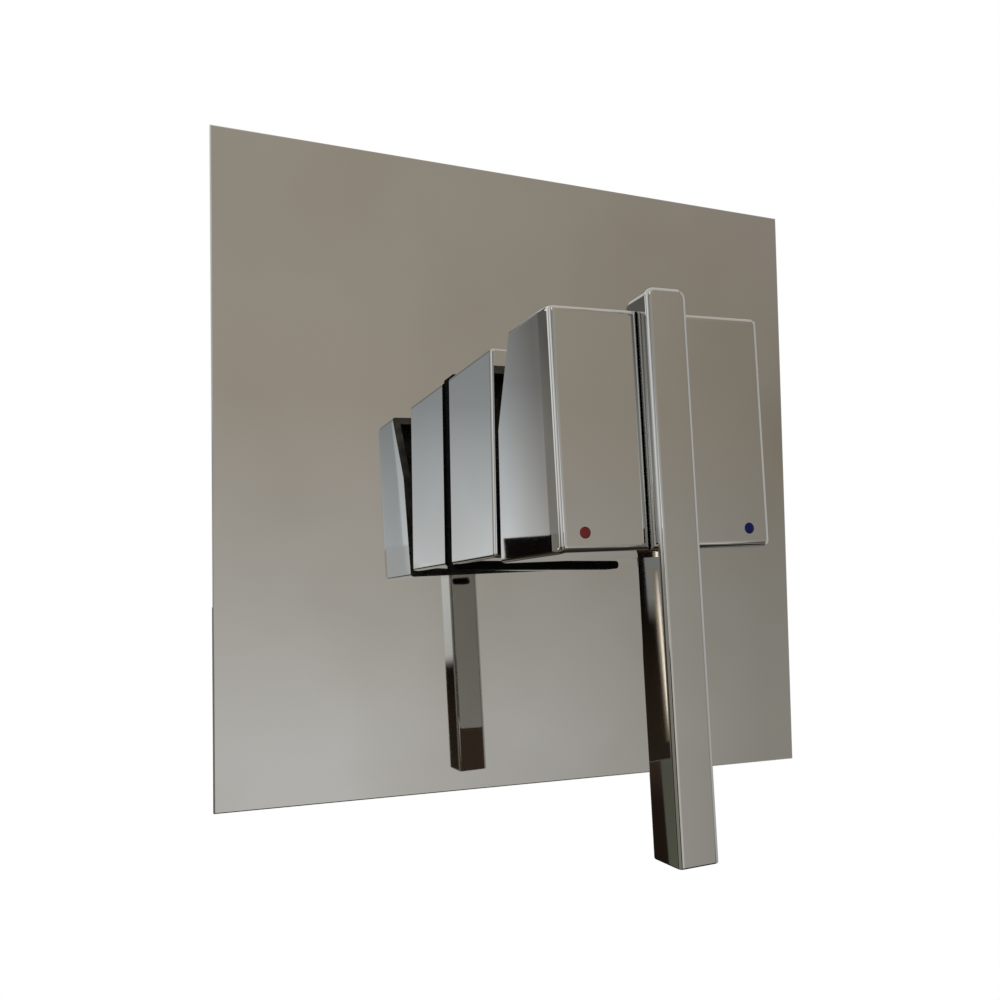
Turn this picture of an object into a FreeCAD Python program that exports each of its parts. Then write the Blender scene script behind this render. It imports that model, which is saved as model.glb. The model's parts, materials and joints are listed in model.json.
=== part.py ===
import FreeCAD, Part
import os
import Sketcher
from FreeCAD import Placement, Rotation, Vector

# Concealed shower mixer: a valve body in the wall, a ceramic cartridge, a square sleeve and cover plate,
# and a lever handle that turns for temperature and tilts for flow.
# Origin: the wall's finished face, on the mixing axis. +Y goes into the wall, +Z is up, +X is to the right.
# "Ahead" is a distance from the wall's face towards the user, so it is -Y.

doc = FreeCAD.newDocument("concealed_shower_mixer")

FRONT = "XZ_Plane"
SIDE = "YZ_Plane"
PLAN = "XY_Plane"

# Degrees from one port tube to half way to the next
BETWEEN_PORTS = 45

# Two places closer than this, in millimetres, count as one
NEAR = 0.001

# Driving dimensions: name, millimetres or degrees, meaning
SIZES = (
    ("plate_width", 180, "side of the square cover plate"),
    ("plate_thick", 2, "cover plate"),
    ("plate_edge", 0.3, "rounding of the cover plate's front edge"),
    ("plate_room", 0.8, "gap round the valve neck in the plate and its seal"),
    ("gasket_thick", 1.5, "foam gasket when pressed"),
    ("gasket_width", 9, "width of the gasket's frame"),
    ("gasket_inset", 2, "plate's edge past the gasket"),
    ("seal_thick", 3.3, "black seal behind the sleeve"),
    ("seal_inset", 0.6, "sleeve's side past the seal"),
    ("seal_lip", 1.2, "seal's lips above and below the sleeve"),
    ("seal_corner", 1, "rounding of the lips' corners"),
    ("cartridge_width", 35, "cartridge diameter"),
    ("cartridge_fit", 0.15, "gap round the cartridge in its bore"),
    ("nut_ledge", 1.85, "nut thread past the cartridge bore"),
    ("neck_wall", 2.9, "neck wall outside the nut thread"),
    ("bush_room", 0.25, "gap between neck and bush"),
    ("bush_wall", 1.7, "thinnest wall of the bush"),
    ("bush_fit", 0.15, "gap between bush and sleeve"),
    ("bush_length", 18, "length of the bush"),
    ("bush_inset", 0.5, "bush's back end inside the sleeve's"),
    ("sleeve_wall", 2, "side wall of the sleeve"),
    ("sleeve_face", 2.5, "front wall of the sleeve"),
    ("sleeve_mouth", 32, "round hole in the sleeve's front"),
    ("sleeve_corner", 0.8, "rounding of the sleeve's long corners"),
    ("sleeve_edge", 0.7, "rounding of the sleeve's front edges"),
    ("ring_first", 4, "first O-ring from the bush's back end"),
    ("ring_pitch", 9, "first O-ring to second"),
    ("ring_groove", 2.4, "width of an O-ring groove"),
    ("ring_sunk", 1.6, "depth of an O-ring groove"),
    ("ring_squeeze", 0.05, "O-ring's gap to its groove and bush"),
    ("seat_behind", 5, "cartridge seat behind the wall's face"),
    ("floor_thick", 3, "cartridge seat to the front of the valve's hub"),
    ("hub_width", 52, "diameter of the valve's hub"),
    ("hub_tail", 18, "hub behind the port axes"),
    ("port_behind", 28, "port axes behind the wall's face"),
    ("port_reach", 52, "mixing axis to each port's mouth"),
    ("port_width", 28, "diameter of a port tube"),
    ("collar_width", 31, "diameter of the collar at a port's mouth"),
    ("collar_length", 13, "length of that collar"),
    ("cast_edge", 2.5, "rounding where a port tube leaves the hub"),
    ("hub_land", 0.5, "least of the hub left behind that rounding"),
    ("pipe_bore", 18.63, "port bore: inside diameter of a half inch pipe thread"),
    ("pipe_depth", 15, "depth of a port's thread"),
    ("pipe_chamfer", 0.8, "chamfer at a port's mouth"),
    ("inlet_bore", 12, "waterway from an inlet"),
    ("inlet_end", 8.2, "inlet waterway's end from the mixing axis"),
    ("outlet_bore", 11, "waterway between the outlets"),
    ("lug_span", 60, "spacing of the fixing holes"),
    ("lug_width", 15, "width of a fixing lug"),
    ("lug_thick", 5, "thickness of a fixing lug"),
    ("lug_hole", 5.5, "fixing hole"),
    ("plug_seal_thick", 1.5, "washer under the outlet plug"),
    ("plug_head", 25, "diameter of the plug's head"),
    ("plug_head_thick", 4, "thickness of the plug's head"),
    ("plug_length", 11, "length of the plug's thread"),
    ("plug_fit", 0.12, "gap round the plug's thread"),
    ("plug_key", 10, "plug's hexagon socket across flats"),
    ("plug_key_depth", 7, "depth of that socket"),
    ("inlet_port_side", 10, "cartridge inlet ports from the axis, sideways"),
    ("inlet_port_drop", 3.5, "cartridge inlet ports below the axis"),
    ("inlet_port_bore", 6, "cartridge inlet port"),
    ("mixed_port_rise", 8.5, "cartridge mixed port above the axis"),
    ("mixed_port_bore", 7, "cartridge mixed port"),
    ("port_seal_wall", 1.6, "width of a base seal's ring"),
    ("port_seal_sunk", 1.4, "base seal inside the base"),
    ("port_seal_proud", 0.5, "base seal past the base"),
    ("port_seal_fit", 0.05, "gap round a base seal"),
    ("base_thick", 6, "cartridge base"),
    ("peg_side", 8, "locating pegs from the axis, sideways"),
    ("peg_rise", 9, "locating pegs above the axis"),
    ("peg_width", 4, "locating peg diameter"),
    ("peg_length", 3, "locating peg below the base"),
    ("peg_fit", 0.15, "gap round and under a peg"),
    ("housing_wall", 2.5, "cartridge housing wall"),
    ("housing_roof", 4, "cartridge housing roof"),
    ("housing_neck", 5.3, "cartridge housing's neck past its roof"),
    ("housing_neck_wall", 2, "wall of that neck"),
    ("disc_fit", 0.2, "gap round the fixed disc"),
    ("disc_thick", 4, "each ceramic disc"),
    ("disc_room", 0.45, "moving disc's gap to the housing at each end of its travel"),
    ("disc_lap", 1, "moving disc's overlap below its chamber when closed"),
    ("chamber_depth", 2.4, "depth of the moving disc's chamber"),
    ("chamber_side", 10, "half width of the chamber's low edge"),
    ("chamber_step", 3.5, "chamber's straight side"),
    ("chamber_top", 11.8, "height of the chamber"),
    ("chamber_top_side", 3.5, "half width of the chamber's top edge"),
    ("carrier_thick", 8, "disc carrier"),
    ("carrier_flat", 9.6, "carrier's guided flats from its middle"),
    ("carrier_room", 0.4, "gap between carrier and swivel guide"),
    ("ball_width", 7.2, "ball at the stem's inner end"),
    ("ball_sunk", 2.5, "ball's centre below the carrier's front"),
    ("ball_fit", 0.15, "gap round the ball in its socket"),
    ("flange_thick", 4, "swivel guide's flange"),
    ("guide_fit", 0.08, "running gap of the swivel guide"),
    ("guide_width", 23.8, "diameter of the swivel guide's neck"),
    ("guide_proud", 4, "swivel guide past the housing's neck"),
    ("guide_leg", 2.4, "thickness of the legs beside the carrier"),
    ("guide_leg_side", 7.5, "half width of those legs"),
    ("guide_leg_short", 1, "legs' ends from the moving disc"),
    ("guide_slide", 0.15, "gap between legs and carrier, and between slot and stem"),
    ("slip_thick", 0.8, "slip ring"),
    ("slip_wide", 2.3, "slip ring's width round the guide's neck"),
    ("slip_fit", 0.3, "gap round the slip ring"),
    ("pivot_rise", 1.3, "pivot pin ahead of the housing's roof"),
    ("pin_width", 3, "pivot pin diameter"),
    ("pin_sunk", 1, "pin's ends inside the guide's neck"),
    ("pin_fit", 0.04, "running gap of the pivot pin"),
    ("lift_range", 25, "degrees of tilt from closed to full flow"),
    ("lift_room", 0.35, "stem's gap to the guide's slot at full tilt"),
    ("nut_thread", 6.8, "threaded length of the cartridge nut"),
    ("nut_fit", 0.1, "gap round the nut's thread"),
    ("nut_hole_room", 0.4, "gap between nut and housing neck"),
    ("nut_hexagon", 3.7, "height of the nut's hexagon"),
    ("nut_hexagon_inset", 1.6, "neck's side past the hexagon's corners"),
    ("nut_stand", 0.2, "nut's hexagon ahead of the neck"),
    ("nut_room", 1.8, "nut to the sleeve's front wall"),
    ("handle_turn", 2.1, "degrees that the handle stands turned, as photographed"),
    ("handle_gap", 3.7, "sleeve to the handle's lower back edge"),
    ("block_over", 0.6, "handle block's sides past the sleeve's"),
    ("block_depth", 36, "handle block's lower back edge to its front"),
    ("block_wall", 2.4, "wall of the handle block"),
    ("block_edge", 1.2, "rounding of the block's front edges"),
    ("block_corner", 1.4, "rounding of the block's long corners"),
    ("block_back_edge", 0.5, "rounding of the block's back edges"),
    ("back_lean", 5, "degrees that the lower back leans from the sleeve"),
    ("relief_start", 5.3, "height on the axis where the steeper back begins"),
    ("relief_angle", 25.5, "degrees that the upper back leans"),
    ("lever_width", 10.2, "lever bar, across"),
    ("lever_thick", 12.2, "lever bar, front to back"),
    ("lever_proud", 4.4, "lever bar ahead of the block"),
    ("lever_above", 3.8, "lever bar above the block"),
    ("lever_below", 69.2, "lever bar below the block"),
    ("lever_corner", 2, "rounding of the lever's top corners"),
    ("lever_edge", 1.4, "rounding of the lever's edges"),
    ("lever_foot", 0.4, "rounding of the lever's lower corners"),
    ("slot_room", 0.4, "gap beside the lever in its slot"),
    ("slot_edge", 2, "rounding of the slot's edges"),
    ("slot_web", 4.4, "block left behind the lever's slot"),
    ("boss_width", 18, "boss round the stem"),
    ("boss_length", 16, "length of that boss"),
    ("stem_width", 8, "square stem across flats"),
    ("stem_tail", 4, "square stem behind the pivot"),
    ("stem_neck", 4.4, "diameter of the stem above its ball"),
    ("stem_gap", 1.2, "stem's tip to the end of its socket"),
    ("stem_edge", 0.5, "chamfer at the stem's tip"),
    ("socket_fit", 0.1, "gap round the stem in its socket"),
    ("socket_depth", 15, "depth of the stem's socket"),
    ("set_screw_width", 5, "set screw diameter"),
    ("set_screw_length", 8, "set screw length"),
    ("set_screw_ahead", 8, "set screw from the boss's back end"),
    ("set_screw_key", 2.5, "set screw's hexagon socket across flats"),
    ("set_screw_key_depth", 3, "depth of that socket"),
    ("screw_fit", 0.05, "gap round a screw's thread"),
    ("key_hole", 6.4, "key hole in the block's underside"),
    ("cap_fit", 0.1, "gap round the cap in that hole"),
    ("cap_thick", 1.8, "screw cap"),
    ("lever_screw_width", 4, "lever screw diameter"),
    ("lever_screw_span", 36, "spacing of the lever screws"),
    ("lever_screw_length", 10.5, "lever screw length"),
    ("lever_screw_head", 7.6, "lever screw head"),
    ("lever_screw_key", 2.5, "lever screw's hexagon socket across flats"),
    ("lever_screw_key_depth", 1.5, "depth of that socket"),
    ("lever_screw_spare", 1, "lever's hole past the screw's end"),
    ("dot_width", 2.6, "colour dot"),
    ("dot_depth", 1.2, "depth of a colour dot"),
    ("dot_fit", 0.03, "gap round a colour dot"),
    ("dot_side", 5.5, "dot's centre from the block's side"),
    ("dot_rise", 3.9, "dot's centre from the block's underside"),
)

sheet = doc.addObject("Spreadsheet::Sheet", "size")
for row, (alias, number, meaning) in enumerate(SIZES, start=1):
    sheet.set(f"A{row}", meaning)
    sheet.set(f"B{row}", str(number))
    sheet.setAlias(f"B{row}", alias)
doc.recompute()

# Radii and half widths, from the cartridge outwards
cartridge_r = "(size.cartridge_width / 2)"
bore_r = f"({cartridge_r} + size.cartridge_fit)"
thread_r = f"({bore_r} + size.nut_ledge)"
neck_r = f"({thread_r} + size.neck_wall)"
bush_bore_r = f"({neck_r} + size.bush_room)"
bush_half = f"({bush_bore_r} + size.bush_wall)"
sleeve_inner_half = f"({bush_half} + size.bush_fit)"
sleeve_half = f"({sleeve_inner_half} + size.sleeve_wall)"
block_half = f"({sleeve_half} + size.block_over)"
plate_hole_r = f"({neck_r} + size.plate_room)"
inner_r = f"({cartridge_r} - size.housing_wall)"
guide_r = "(size.guide_width / 2)"
flange_r = f"({inner_r} - size.guide_fit)"
guide_bore_r = f"({guide_r} + size.guide_fit)"
slip_inner_r = f"({guide_r} + size.slip_fit)"
slip_outer_r = f"({slip_inner_r} + size.slip_wide)"
slip_seat_r = f"({slip_outer_r} + size.slip_fit)"
housing_neck_r = f"({guide_bore_r} + size.housing_neck_wall)"
nut_hole_r = f"({housing_neck_r} + size.nut_hole_room)"
pipe_r = "(size.pipe_bore / 2)"
pin_r = "(size.pin_width / 2)"
stem_half = "(size.stem_width / 2)"
screw_r = "(size.lever_screw_width / 2)"
screw_hole_r = f"({screw_r} + size.screw_fit)"
dot_across = f"({block_half} - size.dot_side)"
dot_height = f"(size.dot_rise - {block_half})"

# Distances ahead of the wall's face, along the cartridge and then the handle
seat = "(-size.seat_behind)"
base_back = f"({seat} + size.port_seal_proud)"
base_front = f"({base_back} + size.base_thick)"
fixed_front = f"({base_front} + size.disc_thick)"
moving_front = f"({fixed_front} + size.disc_thick)"
carrier_front = f"({moving_front} + size.carrier_thick)"
ball_ahead = f"({carrier_front} - size.ball_sunk)"
flange_back = f"({carrier_front} + size.carrier_room)"
flange_front = f"({flange_back} + size.flange_thick)"
slip_front = f"({flange_front} + size.slip_thick)"
roof = f"({slip_front} + size.housing_roof)"
pivot = f"({roof} + size.pivot_rise)"
housing_front = f"({roof} + size.housing_neck)"
guide_front = f"({housing_front} + size.guide_proud)"
hexagon_back = f"({roof} + size.nut_thread)"
neck_front = f"({hexagon_back} - size.nut_stand)"
hub_front = f"({seat} - size.floor_thick)"
hub_back = "(-size.port_behind - size.hub_tail)"
plate_front = "(size.gasket_thick + size.plate_thick)"
sleeve_back = f"({plate_front} + size.seal_thick)"
bush_back = f"({sleeve_back} + size.bush_inset)"
sleeve_floor = f"({hexagon_back} + size.nut_hexagon + size.nut_room)"
sleeve_front = f"({sleeve_floor} + size.sleeve_face)"
block_back = f"({sleeve_front} + size.handle_gap)"
block_front = f"({block_back} + size.block_depth)"
relief_back = f"({block_back} + ({block_half} + size.relief_start) * tan(size.back_lean))"
top_back = f"({relief_back} + ({block_half} - size.relief_start) * tan(size.relief_angle))"
slot_floor = f"({block_front} + size.lever_proud - size.lever_thick)"
cavity_end = f"({slot_floor} - size.slot_web)"
boss_back = f"({cavity_end} - size.boss_length)"
stem_tip = f"({boss_back} + size.socket_depth - size.stem_gap)"
square_back = f"({pivot} - size.stem_tail)"

# The stem's ball drives the discs across by this much from closed to full flow
travel = f"(({pivot} - {ball_ahead}) * sin(size.lift_range))"
disc_rise = f"({travel} / 2)"
moving_disc_r = f"({inner_r} - {disc_rise} - size.disc_room)"


def value(formula):
    number = sheet.evalExpression(formula)
    return float(getattr(number, "Value", number))


def new_body(label):
    owner = doc.addObject("PartDesign::Body", label)
    owner.Label = label
    return owner


def sketch(owner, role, level="0"):
    # A front sketch's level is a distance ahead of the wall, a side one's is X and a plan one's is Z
    drawn = owner.newObject("Sketcher::SketchObject", f"{owner.Name}_sketch")
    plane = next(item for item in owner.Origin.OriginFeatures if item.Role == role)
    drawn.AttachmentSupport = [(plane, "")]
    drawn.MapMode = "FlatFace"
    drawn.setExpression("AttachmentOffset.Base.z", level)
    return drawn


def hold(drawn, kind, geometry, point, formula):
    # Ties one coordinate of a sketch point to a formula
    at = Sketcher.Constraint(kind, -1, 1, geometry, point, value(formula))
    drawn.setExpression(f"Constraints[{drawn.addConstraint(at)}]", formula)


def polygon(drawn, corners):
    points = [Vector(value(across), value(along), 0) for across, along in corners]
    first = drawn.GeometryCount
    count = len(points)
    for here, there in zip(points, points[1:] + points[:1]):
        drawn.addGeometry(Part.LineSegment(here, there), False)
    for index, (across, along) in enumerate(corners):
        line = first + index
        following = first + (index + 1) % count
        drawn.addConstraint(Sketcher.Constraint("Coincident", line, 2, following, 1))
        hold(drawn, "DistanceX", line, 1, across)
        hold(drawn, "DistanceY", line, 1, along)


def rectangle(drawn, left, bottom, right, top):
    polygon(drawn, [(left, bottom), (right, bottom), (right, top), (left, top)])


def square(drawn, half):
    rectangle(drawn, f"-{half}", f"-{half}", half, half)


def circle(drawn, radius, across="0", along="0"):
    centre = Vector(value(across), value(along), 0)
    ring = drawn.addGeometry(Part.Circle(centre, Vector(0, 0, 1), value(radius)), False)
    hold(drawn, "DistanceX", ring, 3, across)
    hold(drawn, "DistanceY", ring, 3, along)
    size_of_ring = drawn.addConstraint(Sketcher.Constraint("Radius", ring, value(radius)))
    drawn.setExpression(f"Constraints[{size_of_ring}]", radius)


def hexagon(drawn, corner_r, across="0", along="0"):
    turns = [60 * step for step in range(6)]
    polygon(drawn, [
        (f"{across} + {corner_r} * cos({turn})", f"{along} + {corner_r} * sin({turn})")
        for turn in turns
    ])


def key_corner(flats):
    # Corner radius of a hexagon from its width across flats
    return f"({flats} / 2 / cos(30))"


def pad(owner, drawn, length, backward=False):
    grown = owner.newObject("PartDesign::Pad", "pad")
    grown.Profile = drawn
    grown.Reversed = backward
    grown.setExpression("Length", length)
    doc.recompute()
    return grown


def cut(owner, drawn, depth, forward=False):
    before = owner.Shape.Volume
    taken = owner.newObject("PartDesign::Pocket", "cut")
    taken.Profile = drawn
    taken.Reversed = forward
    taken.setExpression("Length", depth)
    doc.recompute()
    if owner.Shape.Volume >= before:
        raise ValueError(f"a cut in {owner.Label} took nothing away")
    return taken


def turned(label, outline, level="0", seam=0):
    # A body turned about the mixing axis, or a parallel one at height level, from (radius, ahead) corners
    # The outline stands seam degrees round the axis, which is where the turned faces begin and end
    owner = new_body(label)
    drawn = sketch(owner, PLAN, level)
    drawn.AttachmentOffset = Placement(drawn.AttachmentOffset.Base, Rotation(Vector(0, 1, 0), seam))
    polygon(drawn, [(radius, f"-{ahead}") for radius, ahead in outline])
    spin = owner.newObject("PartDesign::Revolution", "turned")
    spin.Profile = drawn
    spin.ReferenceAxis = (drawn, ["V_Axis"])
    spin.Angle = 360
    doc.recompute()
    return owner


def ring(label, outer_r, hole_r, level, length, role=FRONT, across="0", along="0"):
    owner = new_body(label)
    drawn = sketch(owner, role, level)
    circle(drawn, outer_r, across, along)
    circle(drawn, hole_r, across, along)
    pad(owner, drawn, length)
    return owner


def round_edges(owner, size_of_edge, wanted, kind="PartDesign::Fillet"):
    # Rounds or chamfers the edges of the body's last feature that pass the test
    base = owner.Tip
    names = [f"Edge{place}" for place, edge in enumerate(base.Shape.Edges, start=1) if wanted(edge)]
    if not names:
        raise ValueError(f"no edge to round in {owner.Label}")
    rounding = owner.newObject(kind, "edges")
    rounding.Base = (base, names)
    rounding.setExpression("Radius" if kind.endswith("Fillet") else "Size", size_of_edge)
    doc.recompute()
    return rounding


def same(one, other):
    return abs(one - other) < NEAR


def lies_ahead(edge, ahead):
    # True where the whole edge lies at this distance ahead of the wall
    box = edge.BoundBox
    return same(box.YMin, -value(ahead)) and same(box.YMax, -value(ahead))


def runs_ahead(edge):
    # True where the edge is parallel to the mixing axis
    box = edge.BoundBox
    return box.XLength < NEAR and box.ZLength < NEAR


def group(label, members):
    together = doc.addObject("Part::Compound", label)
    together.Label = label
    together.Links = members
    doc.recompute()
    return together


def turn_with_handle(piece):
    # Stands the piece as photographed, turned a little about the mixing axis
    piece.Placement = Placement(Vector(0, 0, 0), Rotation(Vector(0, -1, 0), value("size.handle_turn")))
    piece.setExpression("Placement.Rotation.Angle", "size.handle_turn")
    return piece


# Cartridge ports as radius and sketch position: hot, cold and mixed
port_bores = [
    ("(size.inlet_port_bore / 2)", "-size.inlet_port_side", "-size.inlet_port_drop"),
    ("(size.inlet_port_bore / 2)", "size.inlet_port_side", "-size.inlet_port_drop"),
    ("(size.mixed_port_bore / 2)", "0", "size.mixed_port_rise"),
]
pegs = [("-size.peg_side", "size.peg_rise"), ("size.peg_side", "size.peg_rise")]
ring_places = (f"({bush_back} + size.ring_first)", f"({bush_back} + size.ring_first + size.ring_pitch)")
ring_groove_r = f"({neck_r} - size.ring_sunk)"


def plate_gasket():
    owner = new_body("plate_gasket")
    outer = "(size.plate_width / 2 - size.gasket_inset)"
    drawn = sketch(owner, FRONT)
    square(drawn, outer)
    square(drawn, f"({outer} - size.gasket_width)")
    pad(owner, drawn, "size.gasket_thick")
    return owner


def cover_plate():
    owner = new_body("cover_plate")
    drawn = sketch(owner, FRONT, "size.gasket_thick")
    square(drawn, "(size.plate_width / 2)")
    circle(drawn, plate_hole_r)
    pad(owner, drawn, "size.plate_thick")
    round_edges(owner, "size.plate_edge",
                lambda edge: lies_ahead(edge, plate_front) and edge.Curve.TypeId == "Part::GeomLine")
    return owner


def sleeve_seal():
    owner = new_body("sleeve_seal")
    half = f"({sleeve_half} - size.seal_inset)"
    lip = f"({sleeve_half} + size.seal_lip)"
    drawn = sketch(owner, FRONT, plate_front)
    rectangle(drawn, f"-{half}", f"-{lip}", half, lip)
    circle(drawn, plate_hole_r)
    pad(owner, drawn, "size.seal_thick")
    round_edges(owner, "size.seal_corner",
                lambda edge: runs_ahead(edge) and same(abs(edge.BoundBox.ZMin), value(lip)))
    return owner


def sleeve():
    owner = new_body("sleeve")
    outside = sketch(owner, FRONT, sleeve_back)
    square(outside, sleeve_half)
    pad(owner, outside, f"{sleeve_front} - {sleeve_back}")
    round_edges(owner, "size.sleeve_corner", runs_ahead)
    round_edges(owner, "size.sleeve_edge", lambda edge: lies_ahead(edge, sleeve_front))
    inside = sketch(owner, FRONT, sleeve_floor)
    square(inside, sleeve_inner_half)
    cut(owner, inside, f"{sleeve_floor} - {sleeve_back}")
    mouth = sketch(owner, FRONT, sleeve_front)
    circle(mouth, "(size.sleeve_mouth / 2)")
    cut(owner, mouth, "size.sleeve_face")
    return owner


def sleeve_bush():
    owner = new_body("sleeve_bush")
    drawn = sketch(owner, FRONT, bush_back)
    square(drawn, bush_half)
    circle(drawn, bush_bore_r)
    pad(owner, drawn, "size.bush_length")
    return owner


def neck_rings():
    wire_r = f"(({bush_bore_r} - {ring_groove_r}) / 2 - size.ring_squeeze)"
    members = []
    for ahead in ring_places:
        member = doc.addObject("Part::Torus", "neck_ring")
        member.setExpression("Radius1", f"{ring_groove_r} + {wire_r} + size.ring_squeeze")
        member.setExpression("Radius2", wire_r)
        member.Placement = Placement(Vector(0, 0, 0), Rotation(Vector(1, 0, 0), 90))
        member.setExpression("Placement.Base.y", f"-{ahead}")
        members.append(member)
    return group("neck_rings", members)


def valve_body():
    outline = [("0", hub_back), ("(size.hub_width / 2)", hub_back), ("(size.hub_width / 2)", hub_front)]
    outline.append((neck_r, hub_front))
    for ahead in ring_places:
        near, far = f"({ahead} - size.ring_groove / 2)", f"({ahead} + size.ring_groove / 2)"
        outline += [(neck_r, near), (ring_groove_r, near), (ring_groove_r, far), (neck_r, far)]
    outline += [(neck_r, neck_front), (thread_r, neck_front), (thread_r, roof), (bore_r, roof)]
    outline += [(bore_r, seat), ("0", seat)]
    owner = turned("valve_body", outline, seam=BETWEEN_PORTS)

    # Four port tubes: hot left, cold right, one outlet up and one down
    tube_levels = (("-size.port_reach", "size.port_width", "2 * size.port_reach"),
                   ("-size.port_reach", "size.collar_width", "size.collar_length"),
                   ("size.port_reach - size.collar_length", "size.collar_width", "size.collar_length"))
    centres = {SIDE: ("size.port_behind", "0"), PLAN: ("0", "size.port_behind")}
    for role, centre in centres.items():
        for level, width, length in tube_levels:
            tube = sketch(owner, role, level)
            circle(tube, f"({width} / 2)", *centre)
            pad(owner, tube, length)
    cast_edge = "min(size.cast_edge; size.hub_tail - size.port_width / 2 - size.hub_land)"
    round_edges(owner, cast_edge, lambda edge: edge.Curve.TypeId == "Part::GeomBSplineCurve")

    # Threaded mouths, then the waterways behind them
    for role, centre in centres.items():
        for level, inward in (("size.port_reach", False), ("-size.port_reach", True)):
            mouth = sketch(owner, role, level)
            circle(mouth, pipe_r, *centre)
            cut(owner, mouth, "size.pipe_depth", forward=inward)
            if role == SIDE:
                way = sketch(owner, role, level)
                circle(way, "(size.inlet_bore / 2)", *centre)
                cut(owner, way, "size.port_reach - size.inlet_end", forward=inward)
    outlets = sketch(owner, PLAN, "size.port_reach")
    circle(outlets, "(size.outlet_bore / 2)", *centres[PLAN])
    cut(owner, outlets, "2 * size.port_reach")
    drillings = sketch(owner, FRONT, seat)
    for radius, across, along in port_bores:
        circle(drillings, radius, across, along)
    cut(owner, drillings, "size.port_behind - size.seat_behind")
    peg_holes = sketch(owner, FRONT, seat)
    for across, along in pegs:
        circle(peg_holes, "(size.peg_width / 2 + size.peg_fit)", across, along)
    cut(owner, peg_holes, "size.peg_length - size.port_seal_proud + size.peg_fit")

    def is_mouth(edge):
        reach = value("size.port_reach")
        middle = edge.BoundBox.Center
        round_edge = edge.Curve.TypeId == "Part::GeomCircle" and same(edge.Curve.Radius, value(pipe_r))
        return round_edge and (same(abs(middle.x), reach) or same(abs(middle.z), reach))

    round_edges(owner, "size.pipe_chamfer", is_mouth, "PartDesign::Chamfer")

    # Crossed bars with round ends carry the fixing holes
    hole = "(size.lug_span / 2)"
    lean = f"(size.lug_width / 2 * cos({BETWEEN_PORTS}))"
    for way in ("1", "-1"):
        bar = sketch(owner, FRONT, hub_back)
        polygon(bar, [
            (f"{way} * ({hole} + {lean})", f"{hole} - {lean}"),
            (f"{way} * ({hole} - {lean})", f"{hole} + {lean}"),
            (f"-{way} * ({hole} + {lean})", f"-{hole} + {lean}"),
            (f"-{way} * ({hole} - {lean})", f"-{hole} - {lean}"),
        ])
        pad(owner, bar, "size.lug_thick")
    corners = [(f"{right}{hole}", f"{up}{hole}") for right in ("", "-") for up in ("", "-")]
    ends = sketch(owner, FRONT, hub_back)
    for corner in corners:
        circle(ends, "(size.lug_width / 2)", *corner)
    pad(owner, ends, "size.lug_thick")
    holes = sketch(owner, FRONT, f"{hub_back} + size.lug_thick")
    for corner in corners:
        circle(holes, "(size.lug_hole / 2)", *corner)
    cut(owner, holes, "size.lug_thick")
    return owner


def outlet_plug():
    owner = new_body("outlet_plug")
    centre = ("0", "size.port_behind")
    head_top = "(-size.port_reach - size.plug_seal_thick)"
    thread = sketch(owner, PLAN, head_top)
    circle(thread, f"({pipe_r} - size.plug_fit)", *centre)
    pad(owner, thread, "size.plug_seal_thick + size.plug_length")
    head = sketch(owner, PLAN, head_top)
    circle(head, "(size.plug_head / 2)", *centre)
    pad(owner, head, "size.plug_head_thick", backward=True)
    socket = sketch(owner, PLAN, f"{head_top} - size.plug_head_thick")
    hexagon(socket, key_corner("size.plug_key"), *centre)
    cut(owner, socket, "size.plug_key_depth", forward=True)
    return owner


def plug_seal():
    level = "-size.port_reach - size.plug_seal_thick"
    inside = f"({pipe_r} + size.pipe_chamfer)"
    return ring("plug_seal", "(size.plug_head / 2)", inside, level, "size.plug_seal_thick",
                PLAN, "0", "size.port_behind")


def cartridge_base():
    owner = new_body("cartridge_base")
    drawn = sketch(owner, FRONT, base_back)
    circle(drawn, cartridge_r)
    pad(owner, drawn, "size.base_thick")
    feet = sketch(owner, FRONT, base_back)
    for across, along in pegs:
        circle(feet, "(size.peg_width / 2)", across, along)
    pad(owner, feet, "size.peg_length", backward=True)
    ports = sketch(owner, FRONT, base_front)
    seats = sketch(owner, FRONT, base_back)
    for radius, across, along in port_bores:
        circle(ports, radius, across, along)
        circle(seats, f"({radius} + size.port_seal_wall + size.port_seal_fit)", across, along)
    cut(owner, ports, "size.base_thick")
    cut(owner, seats, "size.port_seal_sunk", forward=True)
    return owner


def base_seals():
    length = "size.port_seal_sunk + size.port_seal_proud"
    return group("base_seals", [
        ring("base_seal", f"({radius} + size.port_seal_wall)", radius, seat, length, FRONT, across, along)
        for radius, across, along in port_bores
    ])


def fixed_disc():
    owner = new_body("fixed_disc")
    drawn = sketch(owner, FRONT, base_front)
    circle(drawn, f"({inner_r} - size.disc_fit)")
    for radius, across, along in port_bores:
        circle(drawn, radius, across, along)
    pad(owner, drawn, "size.disc_thick")
    return owner


def cartridge_housing():
    return turned("cartridge_housing", [
        (inner_r, base_front), (cartridge_r, base_front), (cartridge_r, roof), (housing_neck_r, roof),
        (housing_neck_r, housing_front), (guide_bore_r, housing_front), (guide_bore_r, slip_front),
        (slip_seat_r, slip_front), (slip_seat_r, flange_front), (inner_r, flange_front),
    ])


def cartridge_nut():
    thread = f"({thread_r} - size.nut_fit)"
    owner = turned("cartridge_nut", [
        (nut_hole_r, roof), (thread, roof), (thread, hexagon_back), (nut_hole_r, hexagon_back),
    ])
    drawn = sketch(owner, FRONT, hexagon_back)
    hexagon(drawn, f"({neck_r} - size.nut_hexagon_inset)")
    circle(drawn, nut_hole_r)
    pad(owner, drawn, "size.nut_hexagon")
    return owner


def slip_ring():
    return ring("slip_ring", slip_outer_r, slip_inner_r, flange_front, "size.slip_thick")


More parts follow.
